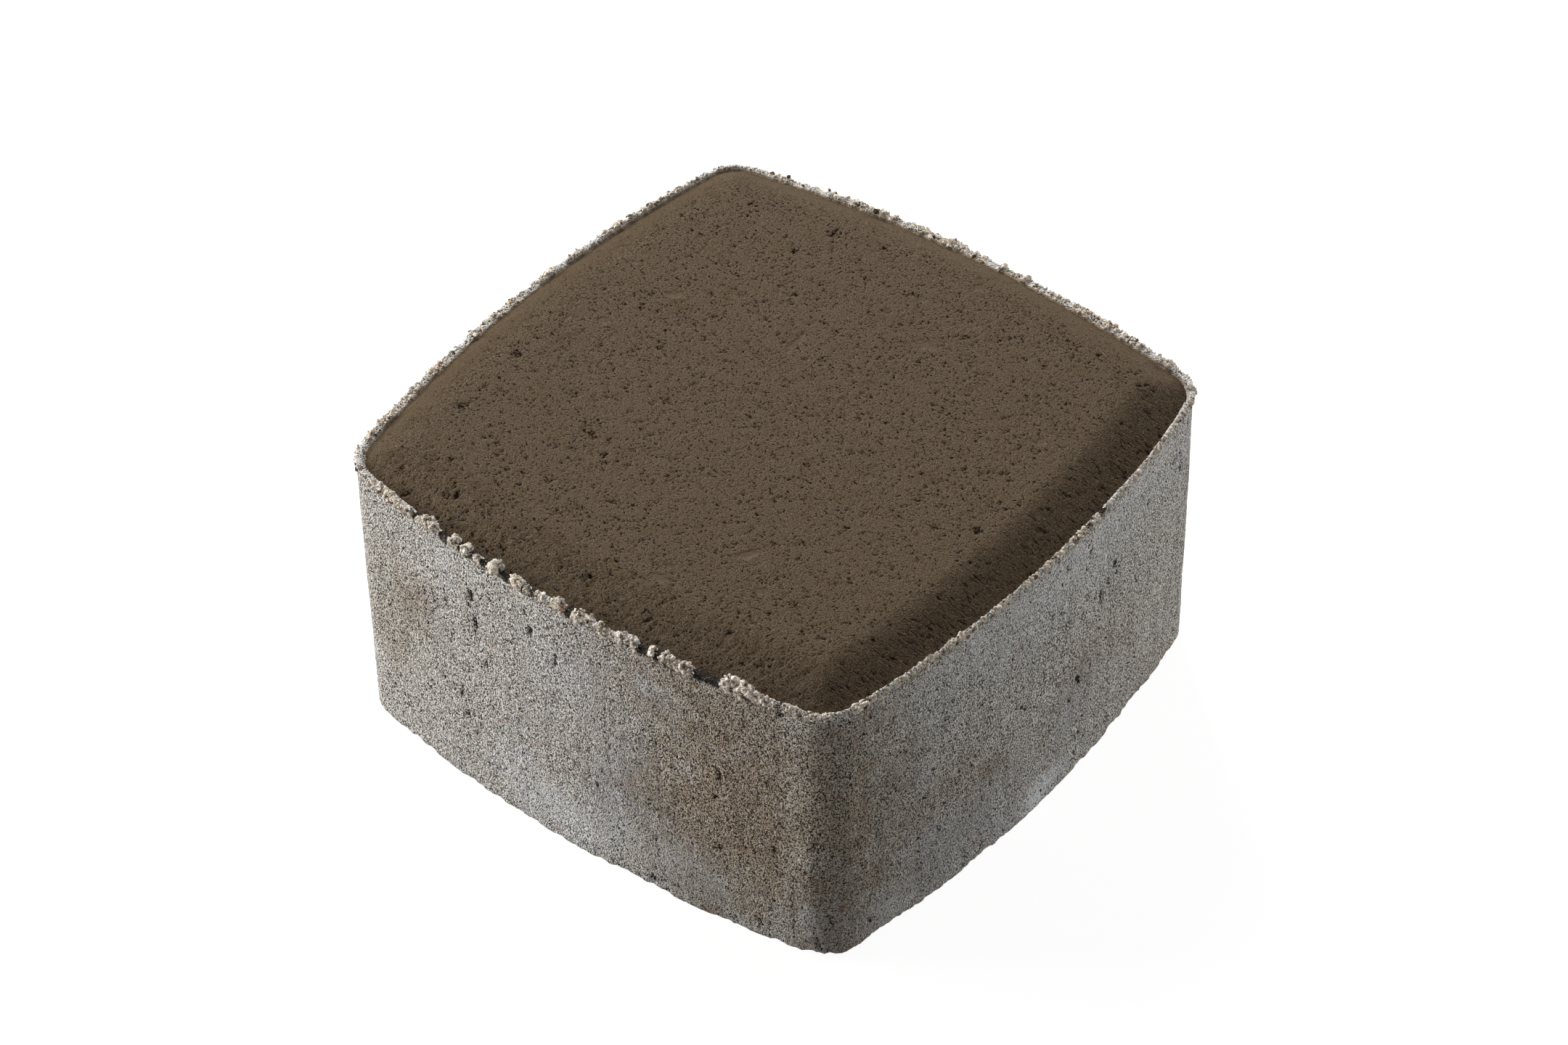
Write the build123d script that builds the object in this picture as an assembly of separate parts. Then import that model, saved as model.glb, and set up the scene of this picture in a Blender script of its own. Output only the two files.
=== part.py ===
from build123d import *
import math
import os

# A square concrete paving stone, pressed in one piece.
# Millimetres. The origin is at the middle of the bed face, +Z is up through the wearing face.

# Plan
width = 118.0  # across two opposite sides, at the middle of each
side_bow = 5.8  # how far the middle of a side stands out beyond its ends
corner_radius = 8.0  # of the four upright edges

# Height
thickness = 60.0  # from the bed face to the flat of the wearing face
bed_round = 0.8  # worn edge of the bed face

# Rolled border of the wearing face
roll_width = 11.5  # from the side wall to where the flat begins
roll_drop = 2.7  # from the flat down to the foot of the lip

# Burr lip that the press leaves round the rim
lip_height = 0.9  # above its foot
lip_crest_width = 0.8
lip_batter = 0.4  # how far the foot reaches in beyond the crest
crest_round = 0.25
foot_round = 0.5

# Where the arcs of the plan have their centres
half_width = width / 2
half_chord = half_width - side_bow
bow_radius = (half_chord**2 + side_bow**2) / (2 * side_bow)
bow_centre = half_width - bow_radius
inner_reach = bow_radius - corner_radius
corner_centre = (bow_centre + math.sqrt(2 * inner_reach**2 - bow_centre**2)) / 2
side_half_angle = math.degrees(math.atan2(corner_centre, corner_centre - bow_centre))


def stone_section():
    """Upright section from the middle of the stone to the middle of a side."""
    foot_height = thickness - roll_drop
    crest_height = foot_height + lip_height
    lip_crest = (half_width - lip_crest_width, crest_height)
    lip_foot = (half_width - lip_crest_width - lip_batter, foot_height)
    flat_end = (half_width - roll_width, thickness)
    wall_foot = (half_width, 0)
    wall_top = (half_width, crest_height)
    with BuildSketch(Plane.XZ) as section:
        with BuildLine():
            Polyline(flat_end, (0, thickness), (0, 0), wall_foot, wall_top, lip_crest, lip_foot)
            TangentArc(flat_end, lip_foot, tangent=(1, 0))
        make_face()

        def corner_at(point):
            return section.vertices().sort_by_distance(Vector(*point))[0]

        fillet(corner_at(wall_foot), bed_round)
        fillet(corner_at(wall_top), crest_round)
        fillet(corner_at(lip_crest), crest_round)
        fillet(corner_at(lip_foot), foot_round)
    return section.sketch


def side_wedge(section):
    """A quarter of the stone behind one bowed side, up to where the corners begin."""
    axis = Axis((bow_centre, 0, 0), (0, 0, 1))
    bowed = revolve(section.rotate(axis, -side_half_angle), axis, 2 * side_half_angle)
    with BuildPart() as quarter:
        with BuildSketch():
            with BuildLine():
                Polyline((0, 0), (width, -width), (width, width), close=True)
            make_face()
        extrude(amount=thickness)
    return bowed & quarter.part


def round_corner(section):
    """The rounded upright edge between two sides, turned about its own centre."""
    rim = Pos(half_width - corner_radius / 2, 0, thickness / 2) * Box(corner_radius, width, thickness)
    rim_section = section & rim
    axis = Axis((half_width - corner_radius, 0, 0), (0, 0, 1))
    turned = revolve(rim_section.rotate(axis, side_half_angle), axis, 90 - 2 * side_half_angle)
    return Pos(corner_centre - half_width + corner_radius, corner_centre, 0) * turned


def paving_stone():
    section = stone_section()
    quarter = [side_wedge(section), round_corner(section)]
    turned = [Rot(0, 0, 90 * side) * piece for side in range(4) for piece in quarter]
    return turned[0].fuse(*turned[1:]).clean()


os.makedirs("parts", exist_ok=True)
stone = paving_stone()
export_step(stone, "parts/paving_stone.step")
print("paving_stone", round(stone.volume), "mm3,", len(stone.faces()), "faces")
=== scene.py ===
import math

import bmesh
import bpy
import numpy as np
from mathutils import Matrix, Vector, noise


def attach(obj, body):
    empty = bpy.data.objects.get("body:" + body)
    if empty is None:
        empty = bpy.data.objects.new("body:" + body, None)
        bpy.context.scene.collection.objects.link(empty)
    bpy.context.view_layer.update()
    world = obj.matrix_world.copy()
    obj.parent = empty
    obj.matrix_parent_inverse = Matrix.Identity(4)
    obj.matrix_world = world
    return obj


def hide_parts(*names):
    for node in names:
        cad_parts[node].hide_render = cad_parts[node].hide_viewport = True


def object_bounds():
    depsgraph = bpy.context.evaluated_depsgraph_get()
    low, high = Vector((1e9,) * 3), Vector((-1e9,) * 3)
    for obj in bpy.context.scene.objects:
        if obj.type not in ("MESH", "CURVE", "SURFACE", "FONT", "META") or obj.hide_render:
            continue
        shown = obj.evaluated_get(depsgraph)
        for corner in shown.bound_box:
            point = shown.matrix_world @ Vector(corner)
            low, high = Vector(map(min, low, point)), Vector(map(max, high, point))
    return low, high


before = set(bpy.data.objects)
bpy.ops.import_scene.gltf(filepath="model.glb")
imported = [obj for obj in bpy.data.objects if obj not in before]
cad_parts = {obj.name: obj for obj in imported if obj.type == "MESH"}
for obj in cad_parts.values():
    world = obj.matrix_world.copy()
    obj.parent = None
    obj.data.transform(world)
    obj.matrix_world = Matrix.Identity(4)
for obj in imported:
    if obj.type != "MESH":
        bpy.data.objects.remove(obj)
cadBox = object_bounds()
mm = 0.001

# Outline and section of the stone in mm, as the solid has them. Only the border of the face differs a little:
# the solid's one arc is the mean of a tighter arc on the two far sides and a slope on the two near ones.
stone = {
    "width": (cadBox[1].x - cadBox[0].x) / mm,
    "thickness": (cadBox[1].z - cadBox[0].z) / mm,
    "sideBow": 5.8,
    "cornerRadius": 8.0,
    "rollWidth": 10.6,  # of the arc, from the wall to the flat
    "rollAngle": 19.5,  # of the slope, in degrees
    "rollRadius": 17.0,  # rounds the slope into the flat
    "rollDrop": 2.7,  # from the flat to the foot of the lip
    "sideBlend": 16.0,  # how far round the corners arc and slope blend
    "lipHeight": 0.9,
    "lipWidth": 1.2,
    "lipSeam": 1.9,  # how far below its crest the lip meets the flanks
    "bedRound": 0.8,
}
halfWidth = stone["width"] / 2
halfChord = halfWidth - stone["sideBow"]
bowRadius = (halfChord**2 + stone["sideBow"] ** 2) / (2 * stone["sideBow"])
bowCentre = halfWidth - bowRadius
innerReach = bowRadius - stone["cornerRadius"]
cornerCentre = (bowCentre + math.sqrt(2 * innerReach**2 - bowCentre**2)) / 2
sideHalfAngle = math.atan2(cornerCentre, cornerCentre - bowCentre)
sideLength = 2 * sideHalfAngle * bowRadius
quarterLength = sideLength + (math.pi / 2 - 2 * sideHalfAngle) * stone["cornerRadius"]
rollRun = stone["rollWidth"] - stone["lipWidth"]
arcRadius = (rollRun**2 + stone["rollDrop"] ** 2) / (2 * stone["rollDrop"])
rollSlope = math.tan(math.radians(stone["rollAngle"]))
rollBlend = stone["rollRadius"] * math.tan(math.radians(stone["rollAngle"] / 2))
slopeEnd = stone["lipWidth"] + stone["rollDrop"] / rollSlope  # where slope and flat would meet
lipFoot = stone["thickness"] - stone["rollDrop"]
lipCrest = lipFoot + stone["lipHeight"]
seedStep = 17.31  # how far apart two seeds lie in the noise
lacunarity = 2.1  # how much finer each octave of the noise is
print("frame loaded, stone", round(stone["width"], 1), "x", round(stone["thickness"], 1), "mm")


def smooth(low, high, value):
    # 0 at low, 1 at high, eased between
    share = np.clip((value - low) / (high - low), 0, 1)
    return share * share * (3 - 2 * share)


def fractal(points, size, seed, octaves=3, hurst=0.7, stretch=(1, 1, 1)):
    # fractal noise at each point; size is the width of its largest lumps in mm
    scaled = points / (np.array(stretch) * size) + seed * seedStep
    return np.array([noise.fractal(place, hurst, lacunarity, octaves, noise_basis="PERLIN_NEW")
                     for place in scaled.tolist()])


def fractals(points, listed):
    return {name: fractal(points, *settings) for name, settings in listed.items()}


def outline(count):
    # points and outward normals, evenly spaced anticlockwise from the middle of the +X side
    along = np.arange(count) / count * 4 * quarterLength + sideLength / 2
    quarter, rest = np.divmod(along, quarterLength)
    bowed = rest < sideLength
    sideTurn = rest / bowRadius - sideHalfAngle
    cornerTurn = sideHalfAngle + (rest - sideLength) / stone["cornerRadius"]
    turn = np.where(bowed, sideTurn, cornerTurn)
    radius = np.where(bowed, bowRadius, stone["cornerRadius"])
    x = np.where(bowed, bowCentre, cornerCentre) + radius * np.cos(turn)
    y = np.where(bowed, 0, cornerCentre) + radius * np.sin(turn)
    spin = quarter * math.pi / 2
    cosine, sine = np.cos(spin), np.sin(spin)
    places = np.stack([cosine * x - sine * y, sine * x + cosine * y], 1)
    normals = np.stack([np.cos(turn + spin), np.sin(turn + spin)], 1)
    return places, normals


def rimDistance(x, y):
    # how far a point in plan lies inside the side wall, in mm
    far = np.maximum(abs(x), abs(y))
    near = np.minimum(abs(x), abs(y))
    toSide = bowRadius - np.hypot(far - bowCentre, near)
    cornerX = far - cornerCentre
    cornerY = near - cornerCentre
    inCorner = (cornerX > 0) & (np.arctan2(cornerY, cornerX) > sideHalfAngle)
    return np.where(inCorner, stone["cornerRadius"] - np.hypot(cornerX, cornerY), toSide)


def nearShare(x, y):
    # 1 on the two near sides, 0 on the two far ones, eased round the corners between
    blend = stone["sideBlend"]
    return smooth(-blend, blend, np.maximum(x, -y) - np.maximum(-x, y))


def faceHeight(distance, near):
    # height of the wearing face over the bed at a distance from the side wall
    reach = np.clip(stone["rollWidth"] - distance, 0, stone["rollWidth"])
    far = arcRadius - np.sqrt(arcRadius**2 - reach**2)
    reach = np.clip(slopeEnd + rollBlend - distance, 0, 0.9 * stone["rollRadius"])  # keeps the root real
    blend = stone["rollRadius"] - np.sqrt(stone["rollRadius"] ** 2 - reach**2)
    onSlope = distance < slopeEnd - rollBlend * math.cos(math.radians(stone["rollAngle"]))
    sloped = np.where(onSlope, (slopeEnd - distance) * rollSlope, blend)
    return stone["thickness"] - (far + (sloped - far) * near)


def meshPiece(name, points, faces, material, rounded=True):
    mesh = bpy.data.meshes.new(name)
    mesh.from_pydata((points * mm).tolist(), [], faces)
    mesh.update()
    piece = bpy.data.objects.new(name, mesh)
    bpy.context.scene.collection.objects.link(piece)
    mesh.materials.append(material)
    mesh.polygons.foreach_set("use_smooth", [rounded] * len(mesh.polygons))
    return piece


def addShade(piece, name, values):
    # a number at each point, for the shaders
    layer = piece.data.attributes.new(name, "FLOAT", "POINT")
    layer.data.foreach_set("value", values.astype(np.float32))


def paintedHollowShade(drop, fullDepth, most, shallow=0.06):
    # painted shade: how dark a hollow is painted, from how far its points are sunk in mm
    return np.clip((drop - shallow) / fullDepth, 0, most)


def finishPiece(piece):
    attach(piece, "root")
    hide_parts("paving_stone")
    piece.data.calc_loop_triangles()
    print(piece.name, len(piece.data.loop_triangles), "triangles")


# Material helpers

def newMaterial(name, roughness=0.93, specular=0.05):
    material = bpy.data.materials.new(name)
    material.use_nodes = True
    tree = material.node_tree
    tree.nodes.clear()
    output = tree.nodes.new("ShaderNodeOutputMaterial")
    surface = tree.nodes.new("ShaderNodeBsdfPrincipled")
    surface.inputs["Roughness"].default_value = roughness
    surface.inputs["Specular IOR Level"].default_value = specular
    tree.links.new(surface.outputs["BSDF"], output.inputs["Surface"])
    return material, tree, surface


def node(tree, kind, inputs=None, **settings):
    made = tree.nodes.new("ShaderNode" + kind)
    for key, value in settings.items():
        setattr(made, key, value)
    for key, value in (inputs or {}).items():
        if isinstance(value, bpy.types.NodeSocket):
            tree.links.new(value, made.inputs[key])
        else:
            made.inputs[key].default_value = value
    return made


def stretched(tree, place, scale):
    return node(tree, "Mapping", {"Vector": place, "Scale": scale}).outputs["Vector"]


def grainNoise(tree, place, size, detail=2.0, rough=0.55):
    # noise whose largest lumps are size mm wide
    inputs = {"Vector": place, "Scale": 1 / (size * mm), "Detail": detail, "Roughness": rough}
    return node(tree, "TexNoise", inputs).outputs["Fac"]


def shade(tree, name):
    return node(tree, "Attribute", attribute_name=name).outputs["Fac"]


def ramp(tree, value, stops):
    # stops are positions with a grey level or a colour
    made = node(tree, "ValToRGB", {"Fac": value})
    band = made.color_ramp
    while len(band.elements) < len(stops):
        band.elements.new(0.5)
    for element, (position, tone) in zip(band.elements, stops):
        element.position = position
        element.color = (tone, tone, tone, 1) if isinstance(tone, (int, float)) else (*tone, 1)
    return made.outputs["Color"]


def tint(tree, share, base, over, blend="MIX"):
    # over laid on base by its share, each a socket or a fixed value
    made = node(tree, "Mix", data_type="RGBA", blend_type=blend)
    for key, value in ((0, share), (6, base), (7, over)):
        if isinstance(value, bpy.types.NodeSocket):
            tree.links.new(value, made.inputs[key])
        else:
            made.inputs[key].default_value = value if isinstance(value, (int, float)) else (*value, 1)
    return made.outputs[2]


def sums(tree, how, first, second):
    return node(tree, "Math", {0: first, 1: second}, operation=how).outputs[0]


def colour(red, green, blue):
    # a colour as a picture file writes it, 0 to 255, in linear light
    shares = (red / 255, green / 255, blue / 255)
    return tuple(share / 12.92 if share < 0.04045 else ((share + 0.055) / 1.055) ** 2.4 for share in shares)


def grit(tree, place, surface, look, worked=False):
    # the sand of the mix: rounded lumps with ragged pores between them, and finer grains
    lumps = grainNoise(tree, place, look["lumpSize"], 2.0, 0.6)
    if worked:
        drawn = grainNoise(tree, stretched(tree, place, look["dragScale"]), look["dragLumpSize"], 2.0, 0.6)
        lumps = node(tree, "Mix", {0: shade(tree, "drag"), 2: lumps, 3: drawn}).outputs[0]
    grains = grainNoise(tree, place, look["grainSize"], 1.0, 0.5)
    crowd = grainNoise(tree, place, look["crowdSize"], 2.0, 0.6)
    level = sums(tree, "ADD", lumps, sums(tree, "MULTIPLY", crowd, look["crowding"]))
    level = sums(tree, "SUBTRACT", level, sums(tree, "MULTIPLY", shade(tree, "hollow"), look["hollowing"]))
    low, high = look["pores"]
    pores = ramp(tree, level, [(low, 1.0), (high, 0.0)])
    relief = sums(tree, "MULTIPLY", lumps, look["lumpHeight"])
    relief = sums(tree, "ADD", relief, sums(tree, "MULTIPLY", grains, look["grainHeight"]))
    relief = sums(tree, "SUBTRACT", relief, sums(tree, "MULTIPLY", pores, look["poreDepth"]))
    if worked:
        stirring = {0: shade(tree, "drag"), 1: look["dragRelief"], 2: 1.0}
        stirred = node(tree, "Math", stirring, operation="MULTIPLY_ADD").outputs[0]
        relief = sums(tree, "MULTIPLY", relief, stirred)
        relief = sums(tree, "MULTIPLY", relief, sums(tree, "SUBTRACT", 1.0, shade(tree, "calm")))
    bump = node(tree, "Bump", {"Height": relief, "Strength": 1.0, "Distance": mm})
    tree.links.new(bump.outputs["Normal"], surface.inputs["Normal"])
    return grains, pores


# The brown wearing face: a square grid pulled out to the rounded outline

brown = {
    # grain tone, and painted shade and highlight: the ramp follows the grains that the bump also raises, so
    # low grains are darker and high ones lighter
    "stops": [(0.30, colour(65, 51, 37)), (0.42, colour(98, 84, 68)), (0.56, colour(105, 91, 74)),
              (0.66, colour(127, 112, 94))],
    "smoothTone": colour(99, 86, 70),
    # painted shade: the dark laid into pores and hollows
    "holeShadeAndStreak": colour(30, 20, 10),
    "warm": colour(90, 72, 48),
    "warmSize": 5.0,
    "warmBand": [(0.55, 0.0), (0.75, 0.3)],
    "paintedBorderShadeTone": colour(204, 197, 187),  # painted shade: multiplies the colour on the border of the face
    "calmShare": 0.75,  # how much of each tone is laid on where it is strongest
    "poreShadeShare": 0.9,
    "hollowShadeShare": 0.3,
    "lumpSize": 0.52,
    "lumpHeight": 0.26,
    "grainSize": 0.24,
    "grainHeight": 0.26,
    "crowdSize": 3.0,
    "crowding": 0.08,
    "hollowing": 0.34,  # how much easier a hollow opens into pores
    "pores": (0.400, 0.414),  # where the mix sinks below this it is open
    "poreDepth": 0.26,
    "dragScale": (0.22, 1, 0.5),  # the border of the +X side was dragged outward
    "dragLumpSize": 0.416,
    "dragRelief": 1.8,
}


def brownConcrete():
    material, tree, surface = newMaterial("brownConcrete")
    place = node(tree, "TexCoord").outputs["Object"]
    grains, pores = grit(tree, place, surface, brown, worked=True)
    base = ramp(tree, grains, brown["stops"])
    warm = ramp(tree, grainNoise(tree, place, brown["warmSize"]), brown["warmBand"])
    base = tint(tree, warm, base, brown["warm"])
    calm = sums(tree, "MULTIPLY", shade(tree, "calm"), brown["calmShare"])
    base = tint(tree, calm, base, brown["smoothTone"])
    # painted shade in the open pores, less where the face is pressed smooth
    poreShade = sums(tree, "MULTIPLY", pores, sums(tree, "SUBTRACT", brown["poreShadeShare"], calm))
    base = tint(tree, poreShade, base, brown["holeShadeAndStreak"])
    # painted shade in the hollows
    hollow = sums(tree, "MULTIPLY", shade(tree, "hollow"), brown["hollowShadeShare"])
    base = tint(tree, hollow, base, brown["holeShadeAndStreak"])
    # painted shade on the border of the face
    base = tint(tree, shade(tree, "border"), base, brown["paintedBorderShadeTone"], "MULTIPLY")
    tree.links.new(base, surface.inputs["Base Color"])
    return material


face = {
    "cells": 308,  # along each side of the grid
    "edgeSamples": 4000,
    "edgeInset": 0.7,  # its edge runs under the lip
    "skirt": 2.2,  # how far the edge goes down inside the stone
    # size of the largest lumps in mm, seed, octaves, and how fast the finer ones fade
    "noise": {"ragged": (1.4, 31, 3), "density": (14, 3, 2), "pores": (0.95, 5, 3, 0.6),
              "pits": (1.3, 11, 3, 0.5), "wave": (15, 7, 3), "crumbs": (1.5, 17, 2, 0.6)},
    "waveHeight": 0.06,
    "grainHeight": 0.02,
    "poreDepth": 0.12,
    "poreSpan": (0.34, 0.62),  # the noise opens into pores between these values
    "pitDepth": 0.28,
    "pitSpan": (0.55, 0.80),
    "density": 0.04,  # how much more open some regions are
    "hollow": (0.6, 0.7),  # painted shade in the hollows: depth where it is full, and the most of it that shows
    # the border of the front side is crumbled: how deep, over which noise, and how much more open
    "crumbleDepth": 0.12,
    "crumbleSpan": (0.1, -0.5),
    "crumbleDensity": 0.02,
    # the bands along the front and the +X side: how they start past the corners, and fade away from the wall
    "crumbleBand": ((-6.0, 10.0), (5.0, 16.0)),
    "dragBand": ((-4.0, 8.0), (6.0, 12.0)),
    "bandTaper": 0.9,
    # the press leaves the border of the two far sides smoother: how much, and from where to where
    "borderCalm": 0.72,
    "borderCalmSpan": (2.5, 9.5),
    "nearCalmReach": 1.5,  # and this much further where the near sides begin
    # painted shade: how strongly each border is darkened, and between which distances from the wall that
    # fades out
    "paintedBorderShades": {"right": (0.50, 8.5, 13.0), "back": (0.33, 3.0, 13.0), "left": (0.68, 5.0, 11.0),
                "front": (0.26, 9.5, 14.0)},
    "borderBlend": 12.0,
    # x, y, width and depth of the pits that stand out
    "pits": [(-22.9, 45.6, 2.6, 0.7), (-25.7, 37.5, 2.6, 0.6), (-46.5, -15.4, 2.0, 0.8),
             (-44.9, -31.7, 2.4, 0.9), (-47.2, -38.0, 1.8, 0.7), (-22.9, -24.0, 2.6, 0.6),
             (-31.8, -49.6, 2.4, 0.8), (0.3, -52.0, 1.8, 0.7), (45.8, -3.2, 1.6, 0.7),
             (43.1, 3.6, 1.4, 0.5), (-12.6, -40.0, 2.4, 0.6), (-36.3, -35.0, 2.0, 0.6),
             (8.6, 21.5, 1.3, 0.5), (25.2, 15.2, 1.5, 0.5), (-17.4, -26.7, 1.4, 0.6),
             (-0.4, 44.0, 1.4, 0.5), (-41.0, 33.6, 1.6, 0.5), (-4.0, -38.0, 1.5, 0.5),
             (47.5, -30.5, 1.6, 0.5), (33.0, 17.0, 1.2, 0.4)],
    "pitReach": 0.75,
    "pitEdge": (0.2, 1.2),
    # x, y, length, width and heading of the places pressed smooth
    "patches": [(40.6, 22.0, 1.8, 1.6, 0), (22.6, -3.5, 2.2, 1.8, 0), (-40.4, 1.2, 2.0, 1.6, 0),
                (10.3, -45.1, 3.6, 2.6, 20), (18.5, -31.3, 4.4, 1.8, 60), (7.3, 49.1, 2.6, 1.6, 0),
                (9.8, 30.6, 4.4, 2.2, 10), (-9.3, 17.0, 6.0, 1.6, 95), (25.6, -37.4, 2.2, 1.8, 0),
                (-34.9, 14.4, 3.0, 1.8, 30), (1.2, 40.5, 1.8, 1.4, 0), (-46.0, -2.0, 2.0, 1.2, 90)],
    "patchCalm": 0.9,
    "patchEdge": (0.6, 1.3),
    "patchRagged": 0.5,
}


def faceGrid():
    # points of the grid in plan, pulled from a square to the edge under the lip
    steps = np.linspace(-1, 1, face["cells"] + 1)
    u, v = np.meshgrid(steps, steps)
    u, v = u.ravel(), v.ravel()
    ring = np.maximum(abs(u), abs(v))
    places, normals = outline(face["edgeSamples"])
    edge = places - normals * face["edgeInset"]
    edge = np.r_[edge, edge[:1]]
    walked = np.r_[0, np.cumsum(np.hypot(*np.diff(edge, axis=0).T))]
    # where each point lies on its own square, as a share of the way round
    across = u / np.maximum(ring, 1e-9)
    up = v / np.maximum(ring, 1e-9)
    onLeft = np.where(across <= -1, 0.5 - up / 8, 0.75 + across / 8)
    walk = np.where(across >= 1, up / 8, np.where(up >= 1, 0.25 - across / 8, onLeft)) % 1.0
    x = ring * np.interp(walk, walked / walked[-1], edge[:, 0])
    y = ring * np.interp(walk, walked / walked[-1], edge[:, 1])
    return x, y


def pressedPatches(x, y, ragged):
    calm = np.zeros_like(x)
    for px, py, length, width, heading in face["patches"]:
        turn = math.radians(heading)
        along = (x - px) * math.cos(turn) + (y - py) * math.sin(turn)
        across = -(x - px) * math.sin(turn) + (y - py) * math.cos(turn)
        reach = np.hypot(along / length, across / width) * 2 + face["patchRagged"] * ragged
        calm = np.maximum(calm, face["patchCalm"] * (1 - smooth(*face["patchEdge"], reach)))
    return calm


def facePits(x, y):
    marked = np.zeros_like(x)
    for px, py, width, depth in face["pits"]:
        reach = np.hypot(x - px, y - py) / (face["pitReach"] * width)
        marked = np.maximum(marked, depth * (1 - smooth(*face["pitEdge"], reach)))
    return marked


def sideBand(toward, sideways, distance, band):
    # 1 along one side of the face, eased out past its corners and away from the wall
    start, fade = band
    return smooth(*start, toward - abs(sideways) * face["bandTaper"]) * (1 - smooth(*fade, distance))


# painted shade on the border of the face, for each side, blended round the corners
def paintedBorderShade(x, y, distance):
    total = np.zeros_like(x)
    weights = np.zeros_like(x)
    reaches = {"right": x, "back": y, "left": -x, "front": -y}
    blend = face["borderBlend"]
    for side, (strength, start, end) in face["paintedBorderShades"].items():
        others = np.max([reach for name, reach in reaches.items() if name != side], axis=0)
        weight = smooth(-blend, blend, reaches[side] - others)
        total += weight * strength * (1 - smooth(start, end, distance))
        weights += weight
    return total / weights


def wearingFace():
    x, y = faceGrid()
    distance = rimDistance(x, y)
    near = nearShare(x, y)
    noises = fractals(np.stack([x, y, np.zeros_like(x)], 1), face["noise"])

    start, end = face["borderCalmSpan"]
    border = 1 - smooth(start, end + face["nearCalmReach"] * near, distance)
    calm = pressedPatches(x, y, noises["ragged"])
    calm = np.maximum(calm, face["borderCalm"] * (1 - near) * border)
    crumbled = sideBand(-y, x, distance, face["crumbleBand"])
    drag = sideBand(x, y, distance, face["dragBand"])

    marked = facePits(x, y)
    density = face["density"] * noises["density"] + face["crumbleDensity"] * crumbled
    pore = smooth(*face["poreSpan"], noises["pores"] + density + 0.7 * marked)
    pit = smooth(*face["pitSpan"], noises["pits"] + density + 0.8 * marked)
    drop = (1 - calm) * (face["poreDepth"] * pore * (1 + marked) + face["pitDepth"] * pit)
    wave = face["waveHeight"] * noises["wave"]
    grain = (1 - calm) * face["grainHeight"] * noises["crumbs"]
    grain -= face["crumbleDepth"] * crumbled * smooth(*face["crumbleSpan"], noises["crumbs"])
    height = np.minimum(faceHeight(distance, near) + wave + grain - drop, stone["thickness"])
    top = np.stack([x, y, height], 1)

    # the edge goes down inside the stone and closes underneath
    cells = face["cells"]
    index = np.arange((cells + 1) ** 2).reshape(cells + 1, cells + 1)
    quads = np.stack([index[:-1, :-1], index[:-1, 1:], index[1:, 1:], index[1:, :-1]], -1).reshape(-1, 4)
    loop = np.r_[index[0, :-1], index[:-1, -1], index[-1, :0:-1], index[:0:-1, 0]]
    count = len(loop)
    under = top[loop] - [0, 0, face["skirt"]]
    here = len(top) + np.arange(count)
    walls = np.stack([np.roll(loop, -1), loop, here, np.roll(here, -1)], -1)
    faces = quads.tolist() + walls.tolist() + [here[::-1].tolist()]
    piece = meshPiece("wearing_face", np.concatenate([top, under]), faces, brownConcrete())
    hidden = np.zeros(count)
    # painted shade in the hollows of the face
    addShade(piece, "hollow", np.r_[paintedHollowShade(drop, *face["hollow"]), hidden])
    addShade(piece, "calm", np.r_[calm, hidden])
    addShade(piece, "drag", np.r_[drag, hidden])
    # painted shade on the border of the face
    addShade(piece, "border", np.r_[paintedBorderShade(x, y, distance), hidden])
    finishPiece(piece)


# The grey body: flanks and bed

grey = {
    # grain tone, and painted shade and highlight: the ramp follows the grains that the bump also raises, so
    # low grains are darker and high ones lighter
    "stops": [(0.36, colour(58, 51, 43)), (0.45, colour(182, 175, 165)), (0.55, colour(228, 221, 212)),
              (0.62, colour(255, 253, 248))],
    # painted shade laid into pores and hollows, and the dark of the streaks on the flanks
    "holeShadeAndStreak": colour(28, 22, 17),
    # painted shade between the crumbs of the burr, laid on the lip under them
    "gapShade": colour(112, 103, 91),
    # pale film of cement on the lip, and painted highlight: as white as it goes so its inner edge and bare
    # crest show as bright lines
    "filmAndHighlight": colour(252, 250, 245),
    "skin": colour(178, 154, 128),  # the brown face reaches a little way up the lip on the far sides; painted light makes it lighter than the face, so that it shows brown in the shade of the lip
    # stains, and painted shade round the front corner
    "stainAndShade": colour(196, 178, 154),
    "blue": colour(202, 206, 213),
    "bloom": colour(252, 253, 255),
    "rustGrain": colour(150, 104, 74),
    # width in mm of the patches, streaks and rusty grains, and how strong they are over the noise
    "stainPatches": (24, [(0.50, 0.0), (0.70, 0.35)]),
    "bluePatches": (22, [(0.50, 0.0), (0.68, 0.35)]),
    "streaks": (1.3, [(0.38, 0.12), (0.55, 0.0)]),
    "rustGrains": (0.9, [(0.97, 0.0), (0.99, 0.45)]),
    "drawScale": (1, 1, 0.8),  # the mould drew the mix out upright
    "streakScale": (1, 1, 0.06),
    "bloomShare": 0.7,
    "poreShadeShare": 0.9,
    "hollowShadeShare": 0.35,
    "lumpSize": 0.40,
    "lumpHeight": 0.33,
    "grainSize": 0.25,
    "grainHeight": 0.49,
    "crowdSize": 3.0,
    "crowding": 0.07,
    "hollowing": 0.28,
    "pores": (0.420, 0.432),
    "poreDepth": 0.32,
}


def greyPatches(tree, place, listed):
    size, stops = grey[listed]
    return ramp(tree, grainNoise(tree, place, size, 3), stops)


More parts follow.
